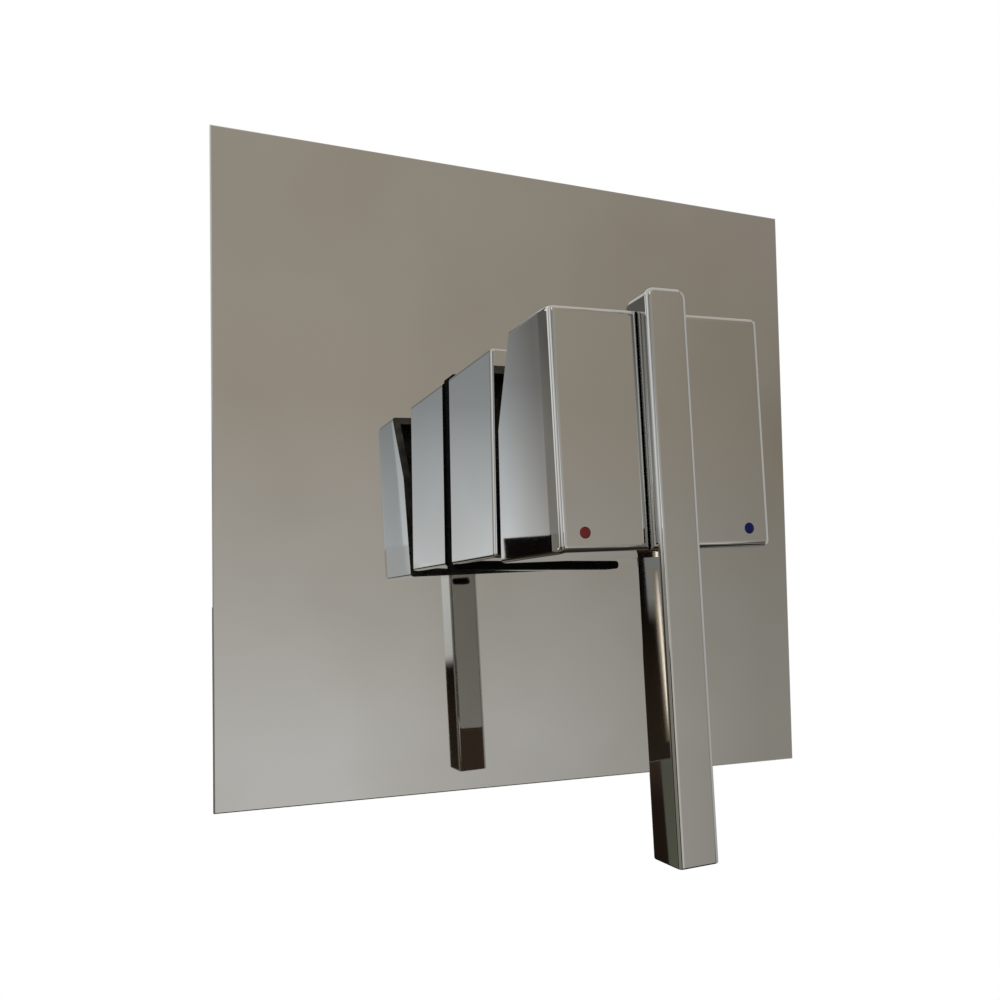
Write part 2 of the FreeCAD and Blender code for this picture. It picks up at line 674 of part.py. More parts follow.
def swivel_guide():
    owner = turned("swivel_guide", [
        ("0", flange_back), (flange_r, flange_back), (flange_r, flange_front), (guide_r, flange_front),
        (guide_r, guide_front), ("0", guide_front),
    ])
    leg_in = "(size.carrier_flat + size.guide_slide)"
    leg_out = f"({leg_in} + size.guide_leg)"
    legs = sketch(owner, FRONT, flange_back)
    rectangle(legs, leg_in, "-size.guide_leg_side", leg_out, "size.guide_leg_side")
    rectangle(legs, f"-{leg_out}", "-size.guide_leg_side", f"-{leg_in}", "size.guide_leg_side")
    leg_length = "size.carrier_thick + size.carrier_room - size.guide_leg_short"
    pad(owner, legs, leg_length, backward=True)
    outside = sketch(owner, FRONT, flange_back)
    circle(outside, f"(2 * {leg_out})")
    circle(outside, leg_out)
    cut(owner, outside, leg_length)
    slot_side = f"({stem_half} + size.guide_slide)"
    slot_top = (f"(({guide_front} - {pivot}) * tan(size.lift_range)"
                f" + {stem_half} / cos(size.lift_range) + size.lift_room)")
    slot_low = f"(-{travel} - size.ball_width / 2 - size.lift_room)"
    slot = sketch(owner, FRONT, guide_front)
    rectangle(slot, f"-{slot_side}", slot_low, slot_side, slot_top)
    cut(owner, slot, f"{guide_front} - {flange_back}")
    hole = sketch(owner, SIDE, guide_r)
    circle(hole, f"({pin_r} + size.pin_fit)", f"-{pivot}", "0")
    cut(owner, hole, "size.guide_width")
    return turn_with_handle(owner)


def pivot_pin():
    owner = new_body("pivot_pin")
    drawn = sketch(owner, SIDE, f"size.pin_sunk - {guide_r}")
    circle(drawn, pin_r, f"-{pivot}", "0")
    pad(owner, drawn, "size.guide_width - 2 * size.pin_sunk")
    return turn_with_handle(owner)


def moving_disc():
    owner = new_body("moving_disc")
    drawn = sketch(owner, FRONT, fixed_front)
    circle(drawn, moving_disc_r, "0", disc_rise)
    pad(owner, drawn, "size.disc_thick")
    low = "(-size.inlet_port_drop + size.inlet_port_bore / 2 + size.disc_lap)"
    high = f"({low} + size.chamber_top)"
    step = f"({low} + size.chamber_step)"
    chamber = sketch(owner, FRONT, fixed_front)
    polygon(chamber, [
        ("-size.chamber_side", low), ("size.chamber_side", low), ("size.chamber_side", step),
        ("size.chamber_top_side", high), ("-size.chamber_top_side", high), ("-size.chamber_side", step),
    ])
    cut(owner, chamber, "size.chamber_depth", forward=True)
    return turn_with_handle(owner)


def disc_carrier():
    owner = new_body("disc_carrier")
    drawn = sketch(owner, FRONT, moving_front)
    circle(drawn, moving_disc_r, "0", disc_rise)
    pad(owner, drawn, "size.carrier_thick")
    flats = sketch(owner, FRONT, carrier_front)
    reach = f"(2 * {moving_disc_r})"
    rectangle(flats, "size.carrier_flat", f"-{reach}", reach, reach)
    rectangle(flats, f"-{reach}", f"-{reach}", "-size.carrier_flat", reach)
    cut(owner, flats, "size.carrier_thick")
    socket = sketch(owner, FRONT, carrier_front)
    circle(socket, "(size.ball_width / 2 + size.ball_fit)")
    cut(owner, socket, "size.ball_sunk + size.ball_width / 2 + 2 * size.ball_fit")
    return turn_with_handle(owner)


def stem():
    owner = new_body("stem")
    shaft = sketch(owner, FRONT, square_back)
    square(shaft, stem_half)
    pad(owner, shaft, f"{stem_tip} - {square_back}")
    round_edges(owner, "size.stem_edge", lambda edge: lies_ahead(edge, stem_tip), "PartDesign::Chamfer")
    neck = sketch(owner, FRONT, square_back)
    circle(neck, "(size.stem_neck / 2)")
    pad(owner, neck, f"{square_back} - {ball_ahead}", backward=True)
    ball = owner.newObject("PartDesign::AdditiveSphere", "ball")
    ball.setExpression("Radius", "size.ball_width / 2")
    ball.setExpression("Placement.Base.y", f"-{ball_ahead}")
    doc.recompute()
    hole = sketch(owner, SIDE, stem_half)
    circle(hole, f"({pin_r} + size.pin_fit)", f"-{pivot}", "0")
    cut(owner, hole, "size.stem_width")
    return turn_with_handle(owner)


def handle_block():
    owner = new_body("handle_block")
    profile = sketch(owner, SIDE, f"-{block_half}")
    polygon(profile, [
        (f"-{block_front}", f"-{block_half}"), (f"-{block_front}", block_half),
        (f"-{top_back}", block_half), (f"-{relief_back}", "size.relief_start"),
        (f"-{block_back}", f"-{block_half}"),
    ])
    pad(owner, profile, f"2 * {block_half}")
    round_edges(owner, "size.block_corner", runs_ahead)

    def is_back_edge(edge):
        box = edge.BoundBox
        bend = same(box.ZMin, value("size.relief_start")) and same(box.ZMax, box.ZMin)
        return box.YMin > -value(top_back) - NEAR and not bend

    round_edges(owner, "size.block_back_edge", is_back_edge)

    # The slot's long edges are rounded first, then the rim round both lands and the slot's ends
    slot_half = "(size.lever_width / 2 + size.slot_room)"
    slot = sketch(owner, FRONT, block_front)
    rectangle(slot, f"-{slot_half}", f"-2 * {block_half}", slot_half, f"2 * {block_half}")
    cut(owner, slot, f"{block_front} - {slot_floor}")

    def stands_at(edge, side):
        box = edge.BoundBox
        return same(abs(box.XMin), value(side)) and same(box.XMin, box.XMax)

    round_edges(owner, "size.slot_edge",
                lambda edge: lies_ahead(edge, block_front) and stands_at(edge, slot_half))
    land_side = f"({slot_half} + size.slot_edge)"

    def is_rim(edge):
        box = edge.BoundBox
        on_land = lies_ahead(edge, block_front) and not stands_at(edge, land_side)
        on_end = same(abs(box.ZMin), value(block_half)) and same(box.ZMin, box.ZMax)
        in_slot = max(abs(box.XMin), abs(box.XMax)) < value(land_side) + NEAR
        return on_land or (on_end and in_slot and not lies_ahead(edge, slot_floor))

    round_edges(owner, "size.block_edge", is_rim)

    inside = sketch(owner, FRONT, cavity_end)
    square(inside, f"({block_half} - size.block_wall)")
    cut(owner, inside, f"{cavity_end} - {block_back}")

    # Boss with a square socket for the stem
    boss = sketch(owner, FRONT, boss_back)
    circle(boss, "(size.boss_width / 2)")
    pad(owner, boss, "size.boss_length")
    socket = sketch(owner, FRONT, boss_back)
    square(socket, f"({stem_half} + size.socket_fit)")
    cut(owner, socket, "size.socket_depth", forward=True)

    # Set screw from below: a key hole in the underside and a threaded hole in the boss
    screw_y = f"-({boss_back} + size.set_screw_ahead)"
    key_way = sketch(owner, PLAN, f"-{block_half}")
    circle(key_way, "(size.key_hole / 2)", "0", screw_y)
    cut(owner, key_way, "size.block_wall", forward=True)
    threaded = sketch(owner, PLAN, "-size.boss_width / 2")
    circle(threaded, "(size.set_screw_width / 2 + size.screw_fit)", "0", screw_y)
    cut(owner, threaded, f"size.boss_width / 2 - {stem_half}", forward=True)

    # Lever screws pass the web behind the slot, with their heads sunk in the hollow
    screw_holes = sketch(owner, FRONT, slot_floor)
    for side in ("", "-"):
        circle(screw_holes, screw_hole_r, "0", f"{side}size.lever_screw_span / 2")
    cut(owner, screw_holes, "size.slot_web")

    def is_screw_seat(edge):
        round_edge = edge.Curve.TypeId == "Part::GeomCircle"
        return lies_ahead(edge, cavity_end) and round_edge and same(edge.Curve.Radius, value(screw_hole_r))

    head_drop = f"(size.lever_screw_head / 2 - {screw_r})"
    round_edges(owner, head_drop, is_screw_seat, "PartDesign::Chamfer")

    dots = sketch(owner, FRONT, block_front)
    for side in ("", "-"):
        circle(dots, "(size.dot_width / 2)", f"{side}{dot_across}", dot_height)
    cut(owner, dots, "size.dot_depth")
    return turn_with_handle(owner)


def lever_bar():
    owner = new_body("lever_bar")
    half = "(size.lever_width / 2)"
    top = f"({block_half} + size.lever_above)"
    foot = f"(-{block_half} - size.lever_below)"
    drawn = sketch(owner, FRONT, slot_floor)
    rectangle(drawn, f"-{half}", foot, half, top)
    pad(owner, drawn, "size.lever_thick")
    round_edges(owner, "size.lever_corner", lambda edge: runs_ahead(edge) and edge.BoundBox.ZMin > 0)
    round_edges(owner, "size.lever_foot",
                lambda edge: runs_ahead(edge) and same(edge.BoundBox.ZMin, value(foot)))

    def is_long_edge(edge):
        front = f"({slot_floor} + size.lever_thick)"
        on_face = lies_ahead(edge, slot_floor) or lies_ahead(edge, front)
        return on_face and edge.BoundBox.ZMax > value(foot) + value("size.lever_foot") / 2

    round_edges(owner, "size.lever_edge", is_long_edge)
    holes = sketch(owner, FRONT, slot_floor)
    for side in ("", "-"):
        circle(holes, screw_hole_r, "0", f"{side}size.lever_screw_span / 2")
    depth = "size.lever_screw_length - size.slot_web + size.lever_screw_spare"
    cut(owner, holes, depth, forward=True)
    return turn_with_handle(owner)


def lever_screws():
    head_r = "(size.lever_screw_head / 2)"
    members = []
    for side in ("", "-"):
        height = f"{side}size.lever_screw_span / 2"
        neck_ahead = f"({cavity_end} + {head_r} - {screw_r})"
        tip = f"({cavity_end} + size.lever_screw_length)"
        member = turned("lever_screw", [
            ("0", cavity_end), (head_r, cavity_end), (screw_r, neck_ahead), (screw_r, tip), ("0", tip),
        ], height)
        key = sketch(member, FRONT, cavity_end)
        hexagon(key, key_corner("size.lever_screw_key"), "0", height)
        cut(member, key, "size.lever_screw_key_depth", forward=True)
        members.append(member)
    return turn_with_handle(group("lever_screws", members))


def set_screw():
    owner = new_body("set_screw")
    centre = ("0", f"-({boss_back} + size.set_screw_ahead)")
    low = f"(-{stem_half} - size.set_screw_length)"
    drawn = sketch(owner, PLAN, low)
    circle(drawn, "(size.set_screw_width / 2)", *centre)
    pad(owner, drawn, "size.set_screw_length")
    key = sketch(owner, PLAN, low)
    hexagon(key, key_corner("size.set_screw_key"), *centre)
    cut(owner, key, "size.set_screw_key_depth", forward=True)
    return turn_with_handle(owner)


def screw_cap():
    owner = new_body("screw_cap")
    drawn = sketch(owner, PLAN, f"-{block_half}")
    circle(drawn, "(size.key_hole / 2 - size.cap_fit)", "0", f"-({boss_back} + size.set_screw_ahead)")
    pad(owner, drawn, "size.cap_thick")
    return turn_with_handle(owner)


def colour_dot(label, side):
    owner = new_body(label)
    drawn = sketch(owner, FRONT, f"{block_front} - size.dot_depth")
    circle(drawn, "(size.dot_width / 2 - size.dot_fit)", f"{side}{dot_across}", dot_height)
    pad(owner, drawn, "size.dot_depth")
    return turn_with_handle(owner)


pieces = [
    plate_gasket(), cover_plate(), sleeve_seal(), sleeve(), sleeve_bush(), neck_rings(), valve_body(),
    outlet_plug(), plug_seal(), cartridge_base(), base_seals(), fixed_disc(), cartridge_housing(),
    cartridge_nut(), slip_ring(), swivel_guide(), pivot_pin(), moving_disc(), disc_carrier(), stem(),
    handle_block(), lever_bar(), lever_screws(), set_screw(), screw_cap(),
    colour_dot("hot_dot", "-"), colour_dot("cold_dot", ""),
]

doc.recompute()
for item in doc.Objects:
    if "Invalid" in item.State or "Error" in item.State:
        raise ValueError(f"{item.Label} did not build: {item.State}")

os.makedirs("parts", exist_ok=True)
for piece in pieces:
    if piece.Shape.isNull() or not piece.Shape.isValid():
        raise ValueError(f"{piece.Label} has no valid shape")
    piece.Shape.exportStep(f"parts/{piece.Label}.step")
    print(f"{piece.Label}: {len(piece.Shape.Solids)} solid(s), {piece.Shape.Volume / 1000:.2f} cm3")
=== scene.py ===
import json
import math

import bpy
from mathutils import Euler, Matrix, Vector


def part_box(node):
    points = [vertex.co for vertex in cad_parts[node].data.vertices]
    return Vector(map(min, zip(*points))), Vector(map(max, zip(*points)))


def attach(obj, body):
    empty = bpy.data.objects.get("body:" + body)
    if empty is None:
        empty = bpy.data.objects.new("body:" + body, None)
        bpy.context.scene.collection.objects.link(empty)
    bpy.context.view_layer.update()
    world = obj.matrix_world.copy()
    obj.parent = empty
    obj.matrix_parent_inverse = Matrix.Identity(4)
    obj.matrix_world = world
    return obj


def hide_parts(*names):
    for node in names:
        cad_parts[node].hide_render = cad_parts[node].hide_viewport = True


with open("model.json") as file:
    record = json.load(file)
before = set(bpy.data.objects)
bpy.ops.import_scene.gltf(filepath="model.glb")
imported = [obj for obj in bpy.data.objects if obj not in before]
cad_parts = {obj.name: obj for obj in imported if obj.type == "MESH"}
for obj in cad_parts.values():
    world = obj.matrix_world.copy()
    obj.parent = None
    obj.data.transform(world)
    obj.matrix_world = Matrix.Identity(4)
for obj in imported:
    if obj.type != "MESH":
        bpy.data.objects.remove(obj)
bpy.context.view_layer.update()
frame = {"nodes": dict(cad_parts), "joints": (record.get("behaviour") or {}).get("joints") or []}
nodes = frame["nodes"]
mm = 0.001
past = 1  # mm by which a cutter reaches past the face that it opens
quarterRound = 0.5  # a bevel's shape when it is part of a circle

# The handle stands turned a little at rest: its tilt axis says by how much
tiltAxis = next(joint["axis"] for joint in frame["joints"] if joint["name"] == "flow_lift")
handleTurn = math.atan2(-tiltAxis[2], -tiltAxis[0])
print("frame loaded:", len(nodes), "nodes, handle turned", round(math.degrees(handleTurn), 2), "degrees")


# Colours are written as sRGB hex and used as linear values; a plain number, or three of them, is a level
# of light and linear already
def linear(tone):
    if isinstance(tone, str):
        parts = [int(tone[i:i + 2], 16) / 255 for i in (1, 3, 5)]
        tone = [p / 12.92 if p <= 0.04045 else ((p + 0.055) / 1.055) ** 2.4 for p in parts]
    elif not isinstance(tone, tuple):
        tone = [tone] * 3
    return [*tone, 1.0]


# Adds one node with its settings, values or links on its inputs, and a ramp's stops of (position, tone)
def addNode(tree, kind, settings={}, inputs={}, stops=()):
    node = tree.nodes.new(kind)
    for name, setting in settings.items():
        setattr(node, name, setting)
    for name, value in inputs.items():
        if isinstance(value, bpy.types.NodeSocket):
            tree.links.new(value, node.inputs[name])
        else:
            node.inputs[name].default_value = value
    marks = node.color_ramp.elements if stops else ()
    while len(marks) < len(stops):
        marks.new(0.5)  # anywhere, as each mark gets its place below
    for mark, (position, tone) in zip(marks, stops):
        mark.position = position
        mark.color = linear(tone)
    return node


# Texture scale for features this many millimetres apart
def perMm(size):
    return 1 / (size * mm)


def newMaterial(name):
    material = bpy.data.materials.new(name)
    material.use_nodes = True
    material.node_tree.nodes.clear()
    return material, material.node_tree


def closeMaterial(tree, inputs):
    shader = addNode(tree, "ShaderNodeBsdfPrincipled", {}, inputs)
    addNode(tree, "ShaderNodeOutputMaterial", {}, {"Surface": shader.outputs["BSDF"]})


# Chrome plate on brass, mirror polished: a cool grey mirror with faint long waves left by the polishing
# wheel, and a thin uneven film of dried water that dulls it here and there
def chromePlate():
    look = {"clean": "#D0D0CE", "film": "#C8C7C3", "mirror": 0.012, "dull": 0.03, "filmMm": 60,
            "filmSpan": (0.45, 0.7), "waveMm": 45, "waveHeightMm": 0.012}
    material, tree = newMaterial("chrome_plate_mirror_polished")
    place = addNode(tree, "ShaderNodeTexCoord").outputs["Object"]
    film = addNode(tree, "ShaderNodeTexNoise", {}, {
        "Vector": place, "Scale": perMm(look["filmMm"]), "Detail": 3.0}).outputs["Fac"]
    wave = addNode(tree, "ShaderNodeTexNoise", {}, {
        "Vector": place, "Scale": perMm(look["waveMm"]), "Detail": 0.0}).outputs["Fac"]
    bump = addNode(tree, "ShaderNodeBump", {}, {
        "Height": wave, "Strength": 1.0, "Distance": look["waveHeightMm"] * mm})
    cleanAt, filmAt = look["filmSpan"]
    tone = addNode(tree, "ShaderNodeValToRGB", {}, {"Fac": film},
                   [(cleanAt, look["clean"]), (filmAt, look["film"])])
    gloss = addNode(tree, "ShaderNodeValToRGB", {}, {"Fac": film},
                    [(cleanAt, look["mirror"]), (filmAt, look["dull"])])
    closeMaterial(tree, {"Base Color": tone.outputs["Color"], "Metallic": 1.0,
                         "Roughness": gloss.outputs["Color"], "Normal": bump.outputs["Normal"]})
    return material


# One finish with a fine grain: stains set its two tones, the grain its roughness and height
def grained(name, special):
    usual = {"drawn": (1, 1, 1), "metallic": 0.0, "coat": 0.0, "specular": 0.5, "milky": 0.0, "milkyMm": 1.5,
             "stainSpan": (0.35, 0.65), "grainSpan": (0.3, 0.7)}
    look = {**usual, **special}
    material, tree = newMaterial(name)
    place = addNode(tree, "ShaderNodeTexCoord").outputs["Object"]
    drawn = addNode(tree, "ShaderNodeMapping", {}, {
        "Vector": place, "Scale": look["drawn"]}).outputs["Vector"]
    stain = addNode(tree, "ShaderNodeTexNoise", {}, {
        "Vector": drawn, "Scale": perMm(look["stainMm"]), "Detail": 8.0}).outputs["Fac"]
    grain = addNode(tree, "ShaderNodeTexNoise", {}, {
        "Vector": drawn, "Scale": perMm(look["grainMm"]), "Detail": 3.0}).outputs["Fac"]
    bump = addNode(tree, "ShaderNodeBump", {}, {
        "Height": grain, "Strength": 1.0, "Distance": look["heightMm"] * mm})
    darkAt, paleAt = look["stainSpan"]
    tone = addNode(tree, "ShaderNodeValToRGB", {}, {"Fac": stain},
                   [(darkAt, look["dark"]), (paleAt, look["pale"])])
    smoothAt, roughAt = look["grainSpan"]
    gloss = addNode(tree, "ShaderNodeValToRGB", {}, {"Fac": grain},
                    [(smoothAt, look["smooth"]), (roughAt, look["rough"])])
    closeMaterial(tree, {
        "Base Color": tone.outputs["Color"], "Metallic": look["metallic"],
        "Roughness": gloss.outputs["Color"], "Normal": bump.outputs["Normal"],
        "Specular IOR Level": look["specular"], "Coat Weight": look["coat"],
        "Subsurface Weight": look["milky"], "Subsurface Scale": look["milkyMm"] * mm})
    return material


finishes = {
    # Brass forging, shot blasted: dull brown yellow under an even peening, stained where it was handled
    "brass_forged_blasted": {"pale": "#B08E4C", "dark": "#8A6A36", "stainMm": 26, "grainMm": 0.9,
                             "heightMm": 0.12, "metallic": 1.0, "smooth": 0.4, "rough": 0.6},
    # Brass off the lathe: bright yellow, with tool marks that are drawn coarse enough to show
    "brass_turned": {"pale": "#DCC07A", "dark": "#C9A961", "stainMm": 18, "grainMm": 0.35,
                     "heightMm": 0.01, "metallic": 1.0, "smooth": 0.16, "rough": 0.3},
    # Brass flashed with plate but never polished: dull grey with a sandy skin, inside the hollows; on the
    # block's back rim it is painted shade for the gap between block and sleeve
    "flash_plated_brass_as_cast": {"pale": "#6E6C66", "dark": "#4A4843", "stainMm": 4, "grainMm": 0.5,
                                   "heightMm": 0.04, "metallic": 1.0, "smooth": 0.5, "rough": 0.65},
    # Back of the plated sheet: unpolished, with the long fine lines of the rolling mill
    "plated_sheet_mill_back": {"pale": "#B2B0AA", "dark": "#94928C", "stainMm": 30, "grainMm": 0.8,
                               "drawn": (0.03, 1, 1), "heightMm": 0.012, "metallic": 1.0,
                               "smooth": 0.26, "rough": 0.42},
    # EPDM rubber, moulded: deep black, dull, a faint bloom
    "rubber_epdm_moulded": {"pale": "#090909", "dark": "#040404", "stainMm": 5, "grainMm": 0.3,
                            "heightMm": 0.01, "specular": 0.06, "smooth": 0.6, "rough": 0.8},
    # Polyethylene foam, die cut: mid grey, open cut cells give a fine pitted skin
    "foam_polyethylene_die_cut": {"pale": "#5C5D5F", "dark": "#424345", "stainMm": 3, "grainMm": 0.6,
                                  "heightMm": 0.15, "specular": 0.3, "smooth": 0.75, "rough": 0.95},
    # Acetal, moulded, natural: milky white, slightly waxy
    "acetal_moulded_natural": {"pale": "#EFEDE6", "dark": "#E4E1D8", "stainMm": 12, "grainMm": 0.5,
                               "heightMm": 0.006, "milky": 0.2, "smooth": 0.32, "rough": 0.45},
    # Nylon with glass fibre, moulded grey: short pale streaks of fibre near the skin, drawn coarser than real
    "nylon_glass_filled_grey": {"pale": "#85878A", "dark": "#6C6E71", "stainMm": 2.5, "grainMm": 0.6,
                                "drawn": (1, 0.35, 1), "heightMm": 0.015, "smooth": 0.4, "rough": 0.58},
    # The same nylon in black, for the bush
    "nylon_glass_filled_black": {"pale": "#1C1C1D", "dark": "#121213", "stainMm": 2.5, "grainMm": 0.6,
                                 "drawn": (1, 0.35, 1), "heightMm": 0.015, "smooth": 0.4, "rough": 0.58},
    # Stainless steel, machined: cool grey, with tool marks that are drawn coarse enough to show
    "stainless_steel_machined": {"pale": "#B9BBBE", "dark": "#A2A4A8", "stainMm": 6, "grainMm": 0.25,
                                 "heightMm": 0.008, "metallic": 1.0, "smooth": 0.22, "rough": 0.36},
    # Alumina, lapped: dense ivory white with a soft gloss, its grit drawn coarser than real
    "alumina_ceramic_lapped": {"pale": "#F0ECE2", "dark": "#E6E1D5", "stainMm": 9, "grainMm": 0.2,
                               "heightMm": 0.001, "milky": 0.1, "smooth": 0.12, "rough": 0.2},
    # Enamel poured into its seat: glossy, a touch deeper where it lies thicker
    "enamel_poured_red": {"pale": "#68191A", "dark": "#561315", "stainMm": 1.5, "grainMm": 0.6,
                          "heightMm": 0.004, "coat": 0.1, "specular": 0.25, "smooth": 0.2, "rough": 0.3},
    # The same enamel in blue, with less shine on it
    "enamel_poured_blue": {"pale": "#06104E", "dark": "#040B40", "stainMm": 1.5, "grainMm": 0.6,
                           "heightMm": 0.004, "coat": 0.05, "specular": 0.15, "smooth": 0.2, "rough": 0.3},
}
finish = {name: grained(name, look) for name, look in finishes.items()}
chrome = chromePlate()
inside = finish["flash_plated_brass_as_cast"]
turned = finish["brass_turned"]

# What each solid of the frame is made of; those that aren't listed are chrome
wears = {
    "plate_gasket": "foam_polyethylene_die_cut", "sleeve_seal": "rubber_epdm_moulded",
    "sleeve_bush": "nylon_glass_filled_black", "neck_rings": "rubber_epdm_moulded",
    "valve_body": "brass_forged_blasted", "outlet_plug": "brass_turned", "plug_seal": "rubber_epdm_moulded",
    "cartridge_base": "nylon_glass_filled_grey", "base_seals": "rubber_epdm_moulded",
    "fixed_disc": "alumina_ceramic_lapped", "cartridge_housing": "acetal_moulded_natural",
    "cartridge_nut": "brass_turned", "slip_ring": "nylon_glass_filled_grey",
    "swivel_guide": "nylon_glass_filled_grey", "pivot_pin": "stainless_steel_machined",
    "moving_disc": "alumina_ceramic_lapped", "disc_carrier": "acetal_moulded_natural", "stem": "brass_turned",
    "lever_screws": "stainless_steel_machined", "set_screw": "stainless_steel_machined",
    "hot_dot": "enamel_poured_red", "cold_dot": "enamel_poured_blue",
}
for name, node in nodes.items():
    node.data.materials.clear()
    node.data.materials.append(finish[wears[name]] if name in wears else chrome)
print("finishes made:", len(finishes) + 1)


def only(piece):
    bpy.ops.object.select_all(action="DESELECT")
    piece.select_set(True)
    bpy.context.view_layer.objects.active = piece


# Opens a piece in edit mode with all of it selected, or what the test picks by place or normal, in mm
def pick(piece, kind, test=None):
    only(piece)
    bpy.ops.object.mode_set(mode="EDIT")
    bpy.ops.mesh.select_mode(type=kind)
    bpy.ops.mesh.select_all(action="DESELECT" if test else "SELECT")
    if not test:
        return
    bpy.ops.object.mode_set(mode="OBJECT")
    mesh = piece.data
    if kind == "VERT":
        for vertex in mesh.vertices:
            vertex.select = test(vertex.co / mm)
    elif kind == "EDGE":
        for edge in mesh.edges:
            edge.select = test(*[mesh.vertices[i].co / mm for i in edge.vertices])
    else:
        for face in mesh.polygons:
            face.select = test(face.center / mm, face.normal)
    bpy.ops.object.mode_set(mode="EDIT")


def closeEdit():
    bpy.ops.object.mode_set(mode="OBJECT")


def applyPlace():
    bpy.ops.object.transform_apply(location=True, rotation=True, scale=True)


def named(name, material):
    piece = bpy.context.object
    piece.name = name
    piece.data.name = name
    if material:
        piece.data.materials.append(material)
    return piece


def addBox(name, low, high, material=None):
    low, high = Vector(low), Vector(high)
    bpy.ops.object.select_all(action="DESELECT")
    bpy.ops.mesh.primitive_cube_add(size=mm, location=(low + high) / 2 * mm, scale=high - low)
    applyPlace()
    return named(name, material)


def addRod(name, start, end, radius, material=None, sides=64):
    start, end = Vector(start), Vector(end)
    turn = (end - start).to_track_quat("Z", "Y").to_euler()
    bpy.ops.object.select_all(action="DESELECT")
    bpy.ops.mesh.primitive_cylinder_add(vertices=sides, radius=radius * mm, depth=(end - start).length * mm,
                                        location=(start + end) / 2 * mm, rotation=turn)
    applyPlace()
    return named(name, material)


# Draws an outline of (radius, along) points as one line of edges, radius on X and along on Y
def addOutline(name, outline, material):
    bpy.ops.object.select_all(action="DESELECT")
    bpy.ops.mesh.primitive_plane_add(size=mm)
    piece = named(name, material)
    pick(piece, "VERT")
    bpy.ops.mesh.merge(type="CENTER")
    here = Vector((0, 0))
    for count, point in enumerate(outline):
        step = (Vector(point) - here).to_3d() * mm
        if count:
            bpy.ops.mesh.extrude_vertices_move(TRANSFORM_OT_translate={"value": step})
        else:
            bpy.ops.transform.translate(value=step)
        here = Vector(point)
    closeEdit()
    return piece


def weld(piece, nearMm=0.002):
    pick(piece, "VERT")
    bpy.ops.mesh.remove_doubles(threshold=nearMm * mm)
    bpy.ops.mesh.normals_make_consistent(inside=False)
    closeEdit()


# Turns an outline about Y, as on a lathe
def addTurned(name, outline, material, steps=96):
    piece = addOutline(name, outline, material)
    pick(piece, "VERT")
    bpy.ops.mesh.spin(steps=steps, angle=2 * math.pi, center=(0, 0, 0), axis=(0, 1, 0))
    closeEdit()
    weld(piece)
    return piece


# Moves a piece that was made along Y so that its Y points another way
def standAlong(piece, way, place):
    only(piece)
    turn = Vector((0, 1, 0)).rotation_difference(Vector(way)).to_matrix().to_4x4()
    piece.matrix_world = Matrix.Translation(Vector(place) * mm) @ turn
    applyPlace()


# Rounds the edges that the test picks; a shape above a quarter round is a flatter edge that rolls off late,
# as polishing leaves it
def roundEdges(piece, width, shape, steps, test):
    pick(piece, "EDGE", test)
    bpy.ops.mesh.bevel(offset=width * mm, segments=steps, profile=shape, affect="EDGES")
    closeEdit()


# Joins a tool to a piece, cuts it away or keeps what both share; the new faces keep the tool's material
def combine(piece, operation, tool):
    only(piece)
    step = piece.modifiers.new(operation, "BOOLEAN")
    step.operation = operation
    step.solver = "EXACT"
    step.material_mode = "TRANSFER"
    step.object = tool
    bpy.ops.object.modifier_apply(modifier=step.name)
    bpy.data.objects.remove(tool)


def cut(piece, tool):
    combine(piece, "DIFFERENCE", tool)


# Puts several pieces in one mesh, the first one's
def gather(pieces):
    only(pieces[0])
    for piece in pieces[1:]:
        piece.select_set(True)
    bpy.ops.object.join()
    return pieces[0]


# Smooth shading that leaves the flats flat
def shade(piece, angle=30):
    only(piece)
    bpy.ops.object.shade_smooth_by_angle(angle=math.radians(angle))
    step = piece.modifiers.new("flats", "WEIGHTED_NORMAL")
    step.keep_sharp = True
    bpy.ops.object.modifier_apply(modifier=step.name)


# Stands a handle piece as it rests, turned about the mixing axis
def turnWithHandle(piece):
    only(piece)
    piece.matrix_world = Matrix.Rotation(-handleTurn, 4, "Y")
    applyPlace()


def standFor(piece, body, node):
    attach(piece, body)
    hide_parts(node)


def same(a, b, near=0.01):
    return abs(a - b) < near


def looksBack(normal, share=0.9):
    return normal.y > share


# Two opposite corners of a node, and the point halfway between them
def boxMm(node):
    return [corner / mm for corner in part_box(node)]


def middleMm(node):
    low, high = boxMm(node)
    return (low + high) / 2


# Cover plate: a thin square of polished sheet with a fine rounded front edge and a hole behind the sleeve
def makePlate():
    plate = {"edgeMm": 0.35, "edgeSteps": 3, "holeMm": 46.4}
    low, high = boxMm("cover_plate")
    piece = addBox("polished_plate", low, high, chrome)
    roundEdges(piece, plate["edgeMm"], quarterRound, plate["edgeSteps"],
               lambda a, b: same(a.y, low.y) and same(b.y, low.y))
    cut(piece, addRod("hole", (0, low.y - past, 0), (0, high.y + past, 0), plate["holeMm"] / 2, inside))
    shade(piece)

    # Only the back keeps the mill's finish
    piece.data.materials.append(finish["plated_sheet_mill_back"])
    for face in piece.data.polygons:
        if looksBack(face.normal):
            face.material_index = len(piece.data.materials) - 1
    standFor(piece, "wall_set", "cover_plate")


